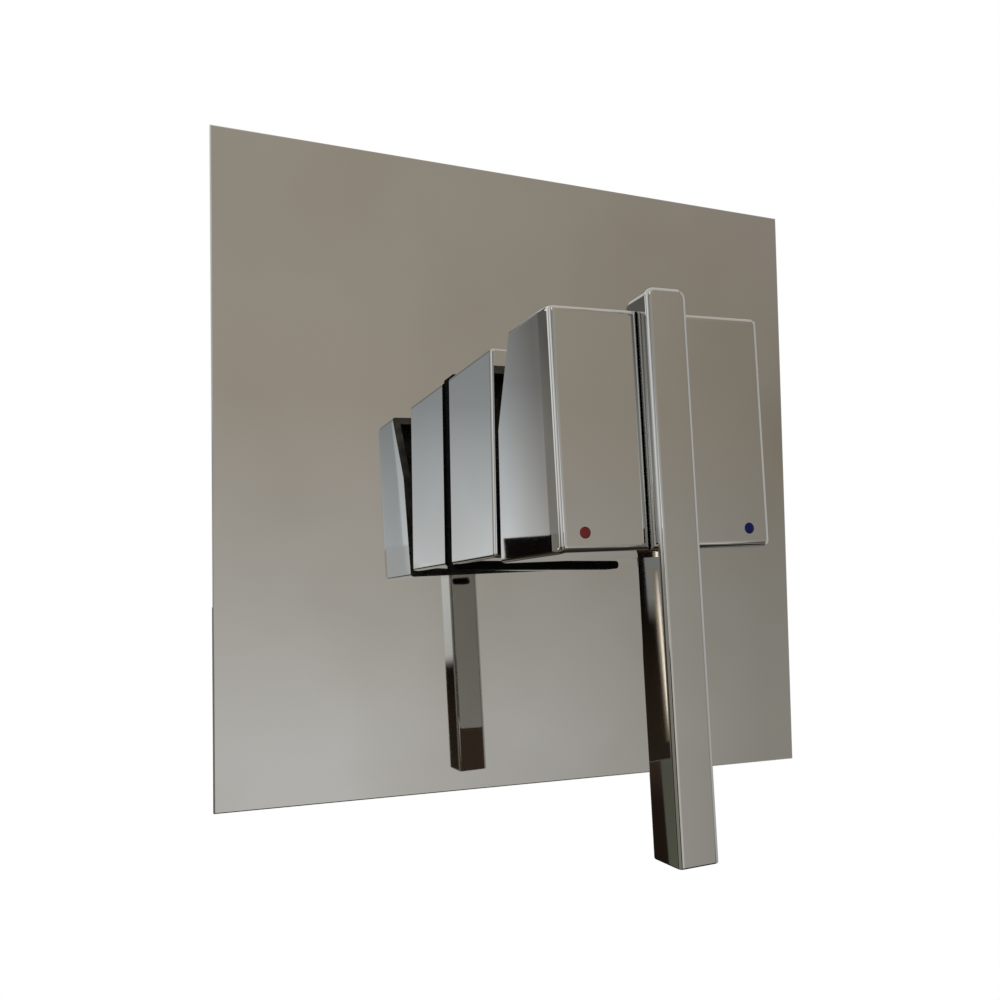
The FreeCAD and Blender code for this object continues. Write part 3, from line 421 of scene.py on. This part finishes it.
# Sleeve: a square tube, closed in front but for the mouth that the stem comes through
def makeSleeve():
    sleeve = {"edgeMm": 1.1, "edgeShape": 0.55, "edgeSteps": 8, "wallMm": 2, "faceMm": 2.5, "mouthMm": 32}
    low, high = boxMm("sleeve")
    wall, face = sleeve["wallMm"], sleeve["faceMm"]
    piece = addBox("polished_sleeve", low, high, chrome)
    roundEdges(piece, sleeve["edgeMm"], sleeve["edgeShape"], sleeve["edgeSteps"],
               lambda a, b: not (same(a.y, high.y) and same(b.y, high.y)))
    cut(piece, addBox("hollow", low + Vector((wall, face, wall)), high + Vector((-wall, past, -wall)),
                      inside))
    cut(piece, addRod("mouth", (0, low.y - past, 0), (0, low.y + face + past, 0),
                      sleeve["mouthMm"] / 2, inside))
    shade(piece)
    standFor(piece, "wall_set", "sleeve")


# Handle block: a hollow square block whose back leans away from the sleeve, with the lever's slot in front
def makeBlock():
    block = {"overMm": 0.6, "edgeMm": 1.3, "edgeShape": 0.6, "edgeSteps": 12,
             "rollMm": ((6, 0), (3.4, 0.1), (0, 0.5)),  # behind the front, and inwards
             "backLean": 5, "reliefLean": 25.5, "reliefStartMm": 5.3, "wallMm": 2.4, "webMm": 4.4,
             "slotMm": 10.5, "slotEdgeMm": 1.3, "slotEdgeSteps": 8, "slabClearMm": 0.004,
             "bossMm": 18, "bossLengthMm": 16, "socketMm": 8.2, "socketDepthMm": 15,
             "screwAheadMm": 8, "screwHoleMm": 5.1, "keyHoleMm": 6.4}
    half = boxMm("sleeve")[1].x + block["overMm"]
    front, back = [corner.y for corner in boxMm("handle_block")]
    slotFloor = boxMm("lever_bar")[1].y
    start = block["reliefStartMm"]
    bend = back - (half + start) * math.tan(math.radians(block["backLean"]))
    top = bend - (half - start) * math.tan(math.radians(block["reliefLean"]))

    # The leaning back: a loop at the bend, then its two upper edges drawn forward
    piece = addBox("polished_handle_block", (-half, front, -half), (half, back, half), chrome)
    pick(piece, "FACE")
    bpy.ops.mesh.bisect(plane_co=(0, 0, start * mm), plane_no=(0, 0, 1))
    closeEdit()
    for height, place in ((start, bend), (half, top)):
        pick(piece, "VERT", lambda v: same(v.z, height) and not same(v.y, front))
        bpy.ops.transform.translate(value=(0, (place - back) * mm, 0))
        closeEdit()

    # Polishing rolls the sides off a little towards the front
    for behind, drop in block["rollMm"]:
        if behind:
            pick(piece, "FACE")
            bpy.ops.mesh.bisect(plane_co=(0, (front + behind) * mm, 0), plane_no=(0, 1, 0))
            closeEdit()
        shrink = 1 - drop / half
        pick(piece, "VERT", lambda v: same(v.y, front + behind))
        bpy.ops.transform.resize(value=(shrink, 1, shrink), center_override=(0, 0, 0))
        closeEdit()

    def isFlat(a, b):
        rolled = 0.1  # mm by which the roll moves the loop at the bend
        ring = same(a.y, b.y) and not same(a.y, front)
        return ring or (same(a.z, b.z, rolled) and same(a.z, start, rolled))

    def isBack(a, b):
        ahead = min(a.y, b.y)
        return ahead > top or same(ahead, top)

    roundEdges(piece, block["edgeMm"], block["edgeShape"], block["edgeSteps"],
               lambda a, b: not isFlat(a, b) and not isBack(a, b))

    # The slot's cutter is a slab with a rail; the rail's rounded roots leave the slot's edges rounded
    face, slotHalf = front - block["slabClearMm"], block["slotMm"] / 2
    rail = addBox("rail", (-half, face - half, -2 * half), (half, face, 2 * half), chrome)
    pick(rail, "FACE")
    for side in (-1, 1):
        bpy.ops.mesh.select_all(action="SELECT")
        bpy.ops.mesh.bisect(plane_co=(side * slotHalf * mm, 0, 0), plane_no=(1, 0, 0))
    closeEdit()
    pick(rail, "FACE", lambda c, n: same(c.x, 0) and looksBack(n))
    bpy.ops.mesh.extrude_region_move(TRANSFORM_OT_translate={"value": (0, (slotFloor - face) * mm, 0)})
    closeEdit()

    def isRoot(a, b):
        return same(a.y, face) and same(b.y, face) and same(a.x, b.x) and same(abs(a.x), slotHalf)

    roundEdges(rail, block["slotEdgeMm"], quarterRound, block["slotEdgeSteps"], isRoot)
    cut(piece, rail)

    # Hollow, boss and its square socket
    cavity, wall = slotFloor + block["webMm"], half - block["wallMm"]
    cut(piece, addBox("hollow", (-wall, cavity, -wall), (wall, back + past, wall), inside))
    bossBack = cavity + block["bossLengthMm"]
    boss = addRod("boss", (0, cavity - past, 0), (0, bossBack, 0), block["bossMm"] / 2, inside)
    combine(piece, "UNION", boss)
    socket = block["socketMm"] / 2
    cut(piece, addBox("socket", (-socket, bossBack - block["socketDepthMm"], -socket),
                      (socket, bossBack + past, socket), inside))

    # Set screw from below: a key hole in the wall, and a narrower hole in the boss
    screw = bossBack - block["screwAheadMm"]
    cut(piece, addRod("key_hole", (0, screw, -half - past), (0, screw, past - wall),
                      block["keyHoleMm"] / 2, inside))
    cut(piece, addRod("screw_hole", (0, screw, -block["bossMm"]), (0, screw, 0),
                      block["screwHoleMm"] / 2, inside))

    # Seats for the two colour dots, and the enamel in them with its slight crown
    dots = {"seatMm": 2.6, "depthMm": 1.2, "sideMm": 6.05, "riseMm": 4.5, "steps": 32, "flatAngle": 50,
            "crownMm": ((0, -0.1), (0.5, -0.08), (0.9, -0.035), (1.25, 0.05), (1.27, 0.15))}
    depth, rim = dots["depthMm"], dots["crownMm"][-1][0]
    outline = [*dots["crownMm"], (rim, depth), (0, depth)]
    rise = dots["riseMm"] - half
    for side, node, slot in ((-1, "hot_dot", "red_enamel"), (1, "cold_dot", "blue_enamel")):
        across = side * (half - dots["sideMm"])
        cut(piece, addRod("dot_seat", (across, front - past, rise), (across, front + depth, rise),
                          dots["seatMm"] / 2, chrome))
        dot = addTurned("enamel_" + node, outline, finish[wears[node]], dots["steps"])
        standAlong(dot, (0, 1, 0), (across, front, rise))
        shade(dot, dots["flatAngle"])
        turnWithHandle(dot)
        standFor(dot, "handle", node)
    shade(piece)

    # The rim at the back gets the dark as-cast finish as painted shade, which darkens the gap between block
    # and sleeve
    # Painted shade: the back rim's faces take the dark hollow finish in place of chrome
    dull = piece.data.materials.find(inside.name)
    for face in piece.data.polygons:
        if looksBack(face.normal, share=0.5) and face.center.y / mm > top:
            face.material_index = dull
    turnWithHandle(piece)
    standFor(piece, "handle", "handle_block")


# Lever: a square bar set in the block's slot, its top rolled off to the back, softly rounded but for its foot
def makeLever():
    lever = {"widthMm": 10.2, "topMm": 30.9, "footMm": -96.3, "crownMm": 4, "crownSteps": 8,
             "cornerMm": 2.2, "cornerSteps": 6, "edgeMm": 1.3, "edgeShape": 0.55, "edgeSteps": 8,
             "footEdgeMm": 0.4, "footEdgeSteps": 3}
    low, high = boxMm("lever_bar")
    top, foot, side = lever["topMm"], lever["footMm"], lever["widthMm"] / 2
    crown = top - lever["crownMm"]

    def isFront(a, b):
        return same(a.y, low.y) and same(b.y, low.y)

    def isFoot(a, b):
        return same(a.z, foot) and same(b.z, foot)

    def isBack(a, b):
        return same(min(a.y, b.y), high.y) and same(min(a.z, b.z), foot) and not isFoot(a, b)

    def isTopBack(a, b):
        return same(min(a.y, b.y), high.y) and same(min(a.z, b.z), top)

    def isTopSide(a, b):
        upper = max(a.z, b.z)
        return same(a.x, b.x) and not isFront(a, b) and upper > crown and not same(upper, crown)

    piece = addBox("polished_lever", (-side, low.y, foot), (side, high.y, top), chrome)
    roundEdges(piece, lever["crownMm"], quarterRound, lever["crownSteps"], isTopBack)
    roundEdges(piece, lever["cornerMm"], quarterRound, lever["cornerSteps"], isTopSide)
    roundEdges(piece, lever["edgeMm"], lever["edgeShape"], lever["edgeSteps"],
               lambda a, b: isBack(a, b) or (isFront(a, b) and not isFoot(a, b)))
    roundEdges(piece, lever["footEdgeMm"], quarterRound, lever["footEdgeSteps"], isFoot)
    shade(piece)
    turnWithHandle(piece)
    standFor(piece, "handle", "lever_bar")


makePlate()
makeSleeve()
makeBlock()
makeLever()
print("chrome trim modelled")


# Valve body: a forging with soft corners, machined where pipes, cartridge and sleeve fit
def makeValve():
    valve = {"hubMm": 52, "hubFrontMm": 8, "tubeMm": 28, "collarMm": 31, "collarLengthMm": 13,
             "lugSpanMm": 60, "lugMm": 15, "lugThickMm": 5, "lugHoleMm": 5.5,
             "spareMm": 2, "voxelMm": 1.0, "softening": 9, "softShare": 0.5, "flatAngle": 40}
    port = {"rootMm": 20.96, "crestMm": 18.63, "pitchMm": 1.814, "threadMm": 13, "threadSteps": 40,
            "ridgeSunkMm": 0.3, "depthMm": 15, "chamferMm": 1.2, "coneMm": 2, "waterwayMm": 12,
            "waterwayDepthMm": 34}
    neck = {"radiusMm": 22.4, "threadMm": 19.5, "threadEndMm": -26.7, "boreMm": 17.65, "seatMm": 5,
            "grooveMm": 20.8, "groovesMm": ((-10.38, -12.78), (-18.82, -21.22)),
            "chamferMm": 0.6, "rootMm": 9.5}
    low, high = boxMm("valve_body")
    reach, front, back, spare = high.x, low.y, high.y, valve["spareMm"]
    axis = Vector((0, middleMm("outlet_plug").y, 0))  # where the ports' axes meet
    ways = [Vector(way) for way in ((-1, 0, 0), (1, 0, 0), (0, 0, 1), (0, 0, -1))]  # the last one is plugged

    # Rough shape from rods and bars, made one skin, and softened as a forging's corners are
    blanks = [addRod("forged_valve", (0, valve["hubFrontMm"], 0), (0, back + spare, 0), valve["hubMm"] / 2,
                     finish["brass_forged_blasted"], sides=96)]
    for way in ways:
        start, end = axis + way * (reach - valve["collarLengthMm"]), axis + way * (reach + spare)
        blanks.append(addRod("tube", axis, end, valve["tubeMm"] / 2))
        blanks.append(addRod("collar", start, end, valve["collarMm"] / 2))
    lugFront, corner, lugHalf = back - valve["lugThickMm"], valve["lugSpanMm"] / 2, valve["lugMm"] / 2
    across = corner * math.sqrt(2)
    for side in (-1, 1):
        bar = addBox("bar", (-across, lugFront, -lugHalf), (across, back + spare, lugHalf))
        bar.matrix_world = Matrix.Rotation(side * math.pi / 4, 4, "Y")
        applyPlace()
        blanks.append(bar)
    lugs = [Vector((x, lugFront, z)) for x in (-corner, corner) for z in (-corner, corner)]
    for lug in lugs:
        blanks.append(addRod("lug", lug, lug + Vector((0, valve["lugThickMm"] + spare, 0)), lugHalf))
    piece = gather(blanks)
    skin = piece.modifiers.new("skin", "REMESH")
    skin.mode = "VOXEL"
    skin.voxel_size = valve["voxelMm"] * mm
    bpy.ops.object.modifier_apply(modifier=skin.name)
    soft = piece.modifiers.new("soft", "SMOOTH")
    soft.factor = valve["softShare"]
    soft.iterations = valve["softening"]
    bpy.ops.object.modifier_apply(modifier=soft.name)

    # Faced ends and back, then ports and fixing holes
    combine(piece, "INTERSECT", addBox("faces", (-reach, 0, -reach), (reach, back, reach), turned))
    root, crest, depth = port["rootMm"] / 2, port["crestMm"] / 2, port["depthMm"]
    waterway, deepest = port["waterwayMm"] / 2, port["waterwayDepthMm"]
    mouth = ((0, -past), (root + port["chamferMm"] + past, -past), (root, port["chamferMm"]), (root, depth),
             (waterway, depth + port["coneMm"]), (waterway, deepest), (0, deepest))
    for way in ways:
        bore = addTurned("bore", mouth, turned, steps=64)
        standAlong(bore, -way, axis + way * reach)
        cut(piece, bore)
    for lug in lugs:
        cut(piece, addRod("lug_hole", lug - Vector((0, spare, 0)),
                          lug + Vector((0, valve["lugThickMm"] + past, 0)),
                          valve["lugHoleMm"] / 2, turned, sides=32))

    # Pipe threads: one ridge wound along each open port, its foot sunk in the wall
    parts = [piece]
    pitch, foot = port["pitchMm"], root + port["ridgeSunkMm"]
    ridge = ((foot, 0), (crest, pitch / 2), (foot, pitch), (foot, 0))
    for way in ways[:-1]:
        thread = addOutline("thread", ridge, turned)
        only(thread)
        wind = thread.modifiers.new("wind", "SCREW")
        wind.axis = "Y"
        wind.screw_offset = pitch * mm
        wind.iterations = int(port["threadMm"] / pitch) - 1
        wind.steps = wind.render_steps = port["threadSteps"]
        wind.use_merge_vertices = True
        bpy.ops.object.modifier_apply(modifier=wind.name)
        weld(thread)
        standAlong(thread, -way, axis + way * (reach - port["chamferMm"]))
        parts.append(thread)

    # Neck: turned outside for the O-rings and inside for the cartridge and its nut
    radius, lip = neck["radiusMm"], neck["chamferMm"]
    outline = [(0, neck["rootMm"]), (radius, neck["rootMm"])]
    for near, far in neck["groovesMm"]:
        outline += [(radius, near), (neck["grooveMm"], near), (neck["grooveMm"], far), (radius, far)]
    outline += [(radius, front + lip), (radius - lip, front), (neck["threadMm"], front),
                (neck["threadMm"], neck["threadEndMm"]), (neck["boreMm"], neck["threadEndMm"]),
                (neck["boreMm"], neck["seatMm"]), (0, neck["seatMm"])]
    parts.append(addTurned("neck", outline, turned))
    piece = gather(parts)
    shade(piece, valve["flatAngle"])
    standFor(piece, "wall_set", "valve_body")


# Plug in the lower outlet: a turned head with a broken edge and a hexagon socket
def makePlug():
    plug = {"headThickMm": 4, "edgeMm": 0.6, "threadMm": 18.38, "keyMm": 10, "keyDepthMm": 7, "flatAngle": 35}
    low, high = boxMm("outlet_plug")
    head, length, behind = high.x, high.z - low.z, middleMm("outlet_plug").y
    thick, edge, thread = plug["headThickMm"], plug["edgeMm"], plug["threadMm"] / 2
    outline = ((0, 0), (head - edge, 0), (head, edge), (head, thick), (thread, thick),
               (thread, length - edge), (thread - edge, length), (0, length))
    piece = addTurned("turned_plug", outline, turned)
    standAlong(piece, (0, 0, 1), (0, behind, low.z))
    cut(piece, addRod("key", (0, behind, low.z - past), (0, behind, low.z + plug["keyDepthMm"]),
                      plug["keyMm"] / math.sqrt(3), turned, sides=6))
    shade(piece, plug["flatAngle"])
    standFor(piece, "wall_set", "outlet_plug")


makeValve()
makePlug()
print("valve modelled")


# Cards stand far off round the object, where only reflections see them: a room for the chrome. Their tone
# changes with height and, where a card has two lists of stops, sideways from the first to the second
def addCard(name, low, high, stops, farStops=(), across=(0, 1), thin=0.01):
    size = [max(side, thin) for side in high - low]
    bpy.ops.object.select_all(action="DESELECT")
    bpy.ops.mesh.primitive_cube_add(size=1, location=(low + high) / 2, scale=size)
    applyPlace()
    material, tree = newMaterial(name)
    place = addNode(tree, "ShaderNodeTexCoord").outputs["Generated"]
    place = addNode(tree, "ShaderNodeSeparateXYZ", {}, {"Vector": place}).outputs
    colour = addNode(tree, "ShaderNodeValToRGB", {}, {"Fac": place["Z"]}, stops).outputs["Color"]
    if farStops:
        far = addNode(tree, "ShaderNodeValToRGB", {}, {"Fac": place["Z"]}, farStops).outputs["Color"]
        side = addNode(tree, "ShaderNodeMapRange", {}, {
            "Value": place["X"], "From Min": across[0], "From Max": across[1]}).outputs["Result"]
        colour = addNode(tree, "ShaderNodeMixRGB", {}, {
            "Fac": side, "Color1": colour, "Color2": far}).outputs["Color"]
    glow = addNode(tree, "ShaderNodeEmission", {}, {"Color": colour, "Strength": 1.0})
    addNode(tree, "ShaderNodeOutputMaterial", {}, {"Surface": glow.outputs["Emission"]})
    card = named(name, material)
    card.visible_camera = card.visible_diffuse = card.visible_shadow = card.visible_transmission = False


# Daylight through a window: a little cooler than the room, brightest low down
daylight = ((0.0, 1.3), (0.054, 1.2), (0.16, 1.0), (0.276, 0.78), (0.39, 0.57), (0.6, 0.45), (1.0, 0.4))


def cool(share, blue=0.05):
    tint = (1 - blue, 1, 1 + blue)
    return [(place, tuple(t * share * level for t in tint)) for place, level in daylight]


# Places are in shares of the room's half width. A card has its two corners, its stops from foot to head,
# and for a change sideways the other stops and where on its width they take over
room = 7
foot, sill, head = -1.2, 0.048, 1.2
cupboard = [(0.6, "#4A4A3E"), (0.85, "#33281F")]
cards = {
    # In front: wall, window and counter, side by side
    "grey_wall": ((-0.05, -1, foot), (1, -1, head),
                  [(0.29, "#5A5751"), (0.358, "#6A665F"), (0.371, "#D8D6D3"), (0.4375, "#D7D5D2"),
                   (0.508, "#C2BEB7"), (0.592, "#B1A89C"), (0.6875, "#B1A99C")],
                  [(0.29, "#4E4B46"), (0.358, "#5E5A54"), (0.371, "#9E9A92"), (0.4375, "#A09C94"),
                   (0.508, "#9B978F"), (0.592, "#999185"), (0.6875, "#A0978C")], (0.238, 0.733)),
    "window_left": ((-0.5, -1, sill), (-0.36, -1, 0.5), cool(0.58, -0.02), cool(1.0), (0.357, 0.75)),
    "window": ((-0.36, -1, sill), (-0.27, -1, 0.5), cool(1.0), cool(0.85)),
    "window_right": ((-0.27, -1, sill), (-0.05, -1, 0.5), cool(0.57)),
    "dim_corner": ((-1, -1, sill), (-0.5, -1, head),
                   [(0.0, "#B2AFAA"), (0.1, "#A5A29D"), (0.22, "#7C7976"), (1.0, "#6E6B68")]),
    "pale_gap": ((-0.2, -1, foot), (-0.05, -1, sill),
                 [(0.63, "#6A665F"), (0.68, "#C8C6C0"), (0.88, "#C5C2BA"), (1.0, "#BCB8AF")]),
    "counter": ((-0.556, -1, foot), (-0.388, -1, sill), [*cupboard, (0.93, "#14110F"), (1.0, "#151312")]),
    "counter_right": ((-0.388, -1, foot), (-0.2, -1, sill),
                      [*cupboard, (0.893, "#1A1512"), (0.901, 0.9), (0.97, 1.0), (0.985, 1.3)],
                      [*cupboard, (0.893, "#1A1512"), (0.901, 0.7), (1.0, (0.67, 0.7, 0.73))],
                      (0.52, 0.63)),
    "counter_left": ((-0.6, -1, foot), (-0.556, -1, sill),
                     [*cupboard, (0.91, "#1A1512"), (0.934, 0.38), (1.0, 0.38)]),
    "counter_end": ((-1, -1, foot), (-0.6, -1, sill), [(0.0, "#6E6B65"), (1.0, "#A09C95")]),
    "lamp_streak": ((-0.571, -0.99, -0.205), (-0.5632, -0.99, 0.0),
                    [(0.0, "#8A7A66"), (0.2, (2.8, 2.5, 2.2)), (0.75, (2.8, 2.5, 2.2)), (1.0, "#A89C8C")],
                    [(0.0, "#8A7A66"), (0.3, "#A0907C"), (0.7, "#B8A48E"), (1.0, "#A89C8C")], (0.35, 0.65)),
    # On the left, from the front to the back
    "left_wall": ((-1, -1, foot), (-1, -0.5, head), [(0.49, "#8A8780"), (0.515, 0.6), (1.0, 0.55)]),
    "left_window": ((-1, -0.5, foot), (-1, 0.1, head),
                    [(0.44, "#8E8A80"), (0.49, "#A09C94"), (0.515, 0.85), (1.0, 0.8)]),
    "left_back": ((-1, 0.1, foot), (-1, 0.45, head),
                  [(0.42, "#2A2823"), (0.5, "#4A4844"), (0.53, "#9A968F"), (0.6, "#A29E98")]),
    "left_far": ((-1, 0.45, foot), (-1, 1, head),
                 [(0.42, "#2A2823"), (0.5, "#4A4844"), (0.53, 0.8), (0.6, 0.9)]),
    # Behind and low, for the lever's side below the plate
    "low_back": ((-1, 0.5, foot), (-0.28, 0.5, -0.12),
                 [(0.0, "#4A4B3E"), (0.8, "#6C6E5E"), (1.0, "#5A5B50")]),
    "low_back_end": ((-0.28, 0.5, foot), (0.5, 0.5, 0.0), [(0.88, "#241C16"), (0.92, "#4B3C34")]),
    # On the right, above and below
    "right_wall": ((1, -1, foot), (1, 1, head), [(0.0, "#8E8B85"), (0.5, "#96938C"), (1.0, "#908D86")]),
    "right_lamp": ((0.99, -0.85, -1.0), (0.99, 0.5, 1.0), [(0.0, 0.5), (1.0, 0.6)]),
    "ceiling": ((-1, -1, head), (1, 1, head), [(0.0, "#CFCCC6"), (1.0, "#CFCCC6")]),
    "ground": ((-1, -1, foot), (1, 1, foot), [(0.0, "#34322E"), (1.0, "#34322E")]),
}
for name, (low, high, *stops) in cards.items():
    addCard(name + "_card", Vector(low) * room, Vector(high) * room, *stops)

# A pale floor well below the mixer, and one wide lamp for all that isn't chrome
studio = {"floorM": 1.7, "floorPlace": (0, -0.05, -0.6), "floorTone": "#F2F1EE", "floorRough": 0.7,
          "lampM": 1.2, "lampPlace": (-0.9, -1.3, 1.2), "lampTurn": (50, 0, -35), "lampWatts": 14,
          "fill": 0.6, "backdrop": 1.0}
bpy.ops.object.select_all(action="DESELECT")
bpy.ops.mesh.primitive_plane_add(size=studio["floorM"], location=studio["floorPlace"])
material, tree = newMaterial("pale_floor")
closeMaterial(tree, {"Base Color": linear(studio["floorTone"]), "Roughness": studio["floorRough"]})
floor = named("floor", material)
floor.visible_glossy = False  # the chrome mirrors the room, and not the studio's floor
bpy.ops.object.light_add(type="AREA", location=studio["lampPlace"],
                         rotation=[math.radians(angle) for angle in studio["lampTurn"]])
lamp = bpy.context.object
lamp.data.size = studio["lampM"]
lamp.data.energy = studio["lampWatts"]
lamp.visible_glossy = False

# White all round for the camera and in reflections, and a dimmer fill light on everything else
world = bpy.data.worlds.new("studio")
bpy.context.scene.world = world
world.use_nodes = True
tree = world.node_tree
tree.nodes.clear()
path = addNode(tree, "ShaderNodeLightPath").outputs
seen = addNode(tree, "ShaderNodeMath", {"operation": "MAXIMUM"}, {
    0: path["Is Camera Ray"], 1: path["Is Glossy Ray"]})
strength = addNode(tree, "ShaderNodeMapRange", {}, {
    "Value": seen.outputs["Value"], "To Min": studio["fill"], "To Max": studio["backdrop"]})
glow = addNode(tree, "ShaderNodeBackground", {}, {
    "Color": (1, 1, 1, 1), "Strength": strength.outputs["Result"]})
addNode(tree, "ShaderNodeOutputWorld", {}, {"Surface": glow.outputs["Background"]})
print("room and lights set")

# Camera at the photograph's place
view = {"placeMm": (-111.4, -273.6, -40.0), "yaw": 23.6, "pitch": 2.54, "roll": 1.24, "lensMm": 35.77,
        "sensorMm": 36, "shift": (-0.0565, 0.0668), "nearMm": 10}
camera = bpy.data.objects.new("camera", bpy.data.cameras.new("camera"))
bpy.context.scene.collection.objects.link(camera)
camera.location = Vector(view["placeMm"]) * mm
camera.rotation_euler = Euler([math.radians(a) for a in (90 + view["pitch"], view["roll"], -view["yaw"])])
camera.data.lens = view["lensMm"]
camera.data.sensor_width = view["sensorMm"]
camera.data.shift_x, camera.data.shift_y = view["shift"]
camera.data.clip_start = view["nearMm"] * mm
bpy.context.scene.camera = camera
bpy.context.scene.view_settings.view_transform = "Standard"
print("camera set")
